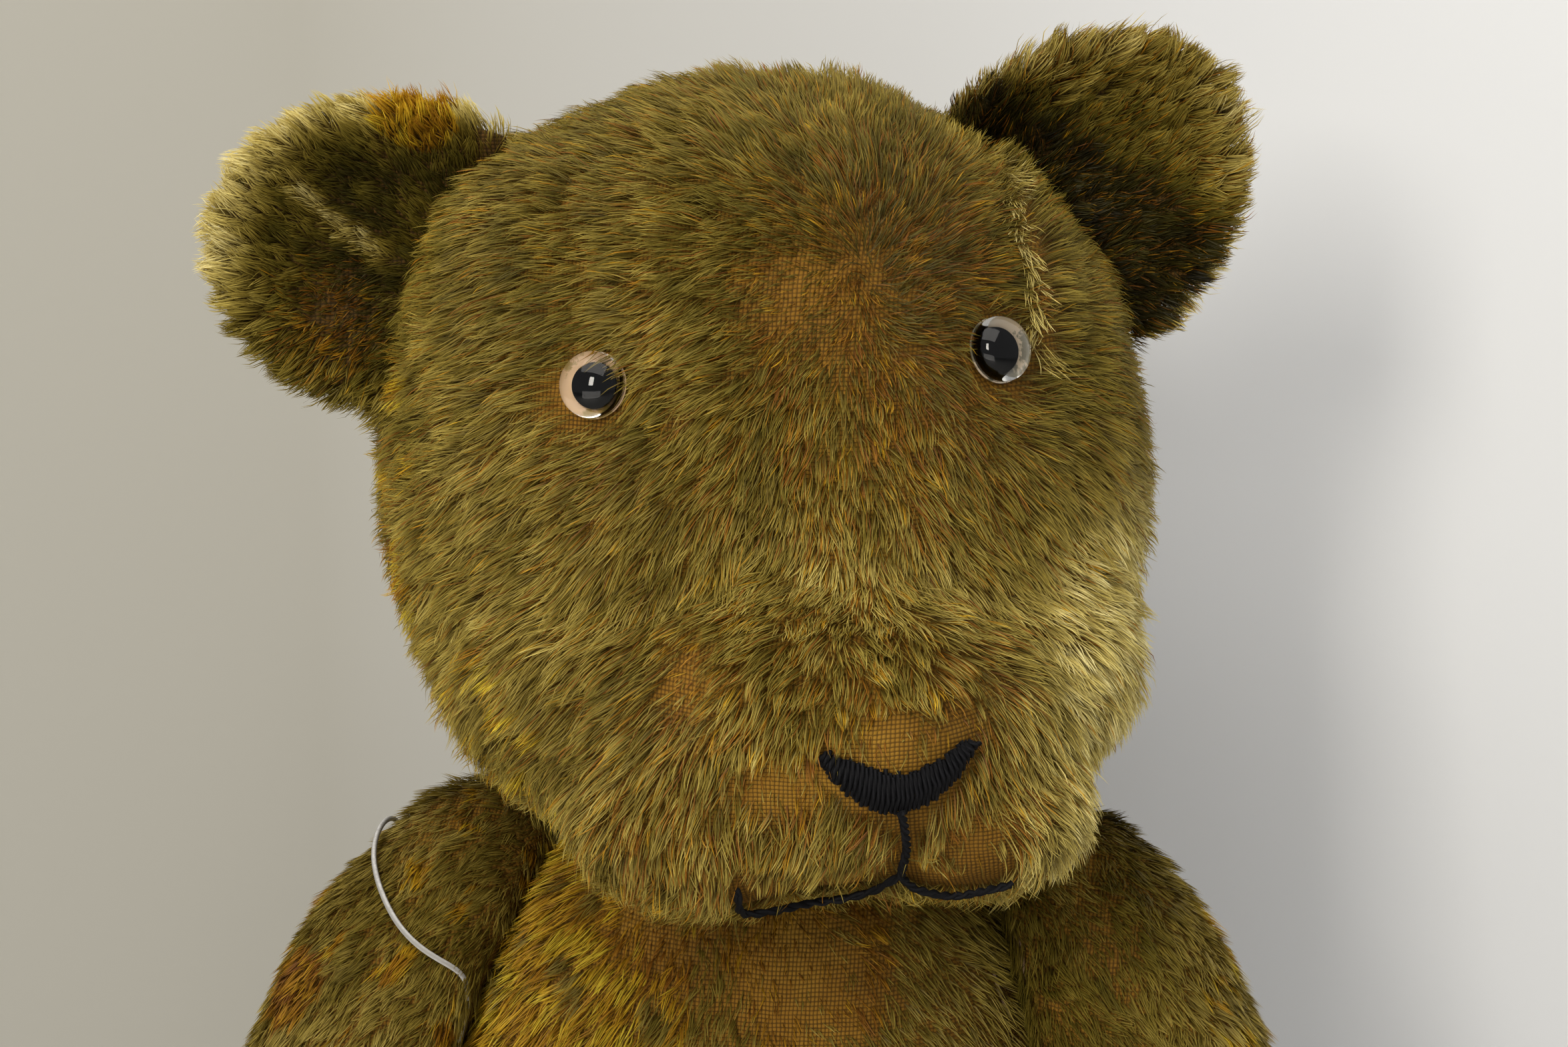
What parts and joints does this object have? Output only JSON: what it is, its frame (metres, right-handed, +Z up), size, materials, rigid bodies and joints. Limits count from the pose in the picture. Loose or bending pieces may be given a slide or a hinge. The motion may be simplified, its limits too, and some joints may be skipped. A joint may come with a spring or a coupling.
{
  "type": "jointed teddy bear",
  "caption": "Sitting jointed mohair teddy bear with glass eyes and stitched nose, whose head, arms and legs turn on disc joints held by split pins.",
  "frame": {"origin": "middle of the flat seat under the torso", "axes": "+Z up from the seat to the head, -Y the way the bear's body looks, +X towards the bear's left arm"},
  "size_m": [0.2568, 0.2342, 0.3447],
  "materials": {
    "mohair_cloth": "worn mohair pile, olive and straw on a rust brown weave",
    "mohair_gold": "mohair pile that kept its first gold colour",
    "mohair_green": "faded and dirty grey green mohair pile",
    "felt": "worn wool felt",
    "wood_wool": "packed wood wool stuffing",
    "hardboard": "pressed board",
    "steel": "plain steel, slightly dull",
    "clear_glass": "clear polished glass",
    "black_glass": "polished black glass",
    "eye_enamel": "chipped enamel paint",
    "black_thread": "black embroidery thread",
    "brown_thread": "brown linen thread",
    "white_string": "thin twisted white string"
  },
  "bodies": {
    "torso": {"torso_left": "mohair_cloth", "torso_right": "mohair_cloth", "torso_stuffing": "wood_wool", "back_closing_stitches": "brown_thread", "body_disc_neck": "hardboard", "body_disc_shoulder_left": "hardboard", "body_disc_shoulder_right": "hardboard", "body_disc_hip_left": "hardboard", "body_disc_hip_right": "hardboard", "joint_pins": "steel", "joint_washers": "steel"},
    "head": {"head_side_left": "mohair_cloth", "head_side_right": "mohair_cloth", "head_gusset": "mohair_cloth", "head_stuffing": "wood_wool", "head_disc": "hardboard", "ear_left_front": "mohair_green", "ear_left_back": "mohair_gold", "ear_right_front": "mohair_green", "ear_right_back": "mohair_gold", "eye_glass_left": "clear_glass", "eye_pupil_left": "black_glass", "eye_paint_left": "eye_enamel", "eye_wire_left": "steel", "eye_glass_right": "clear_glass", "eye_pupil_right": "black_glass", "eye_paint_right": "eye_enamel", "eye_wire_right": "steel", "nose_stitching": "black_thread", "mouth_stitching": "black_thread"},
    "arm_left": {"arm_left_outer": "mohair_cloth", "arm_left_inner": "mohair_cloth", "arm_left_pad": "felt", "arm_left_stuffing": "wood_wool", "arm_left_disc": "hardboard"},
    "leg_left": {"leg_left_outer": "mohair_cloth", "leg_left_inner": "mohair_cloth", "leg_left_sole": "felt", "leg_left_insole": "hardboard", "leg_left_stuffing": "wood_wool", "leg_left_disc": "hardboard"},
    "arm_right": {"arm_right_outer": "mohair_cloth", "arm_right_inner": "mohair_cloth", "arm_right_pad": "felt", "arm_right_stuffing": "wood_wool", "arm_right_disc": "hardboard", "arm_string": "white_string"},
    "leg_right": {"leg_right_outer": "mohair_cloth", "leg_right_inner": "mohair_cloth", "leg_right_sole": "felt", "leg_right_insole": "hardboard", "leg_right_stuffing": "wood_wool", "leg_right_disc": "hardboard"}
  },
  "joints": [
    {"name": "neck_turn", "type": "hinge", "parent": "torso", "child": "head", "pos_m": [0, 0, 0.2], "axis": [0, 0, 1], "continuous": true},
    {"name": "shoulder_left", "type": "hinge", "parent": "torso", "child": "arm_left", "pos_m": [0.0525, 0, 0.163], "axis": [-0.9272, 0, -0.3746], "range_deg": [-115, 65]},
    {"name": "shoulder_right", "type": "hinge", "parent": "torso", "child": "arm_right", "pos_m": [-0.0525, 0, 0.163], "axis": [-0.9272, 0, 0.3746], "range_deg": [-115, 65]},
    {"name": "hip_left", "type": "hinge", "parent": "torso", "child": "leg_left", "pos_m": [0.056, -0.004, 0.042], "axis": [0.9976, 0, -0.0698], "range_deg": [-10, 110]},
    {"name": "hip_right", "type": "hinge", "parent": "torso", "child": "leg_right", "pos_m": [-0.056, -0.004, 0.042], "axis": [0.9976, 0, 0.0698], "range_deg": [-10, 110]}
  ]
}
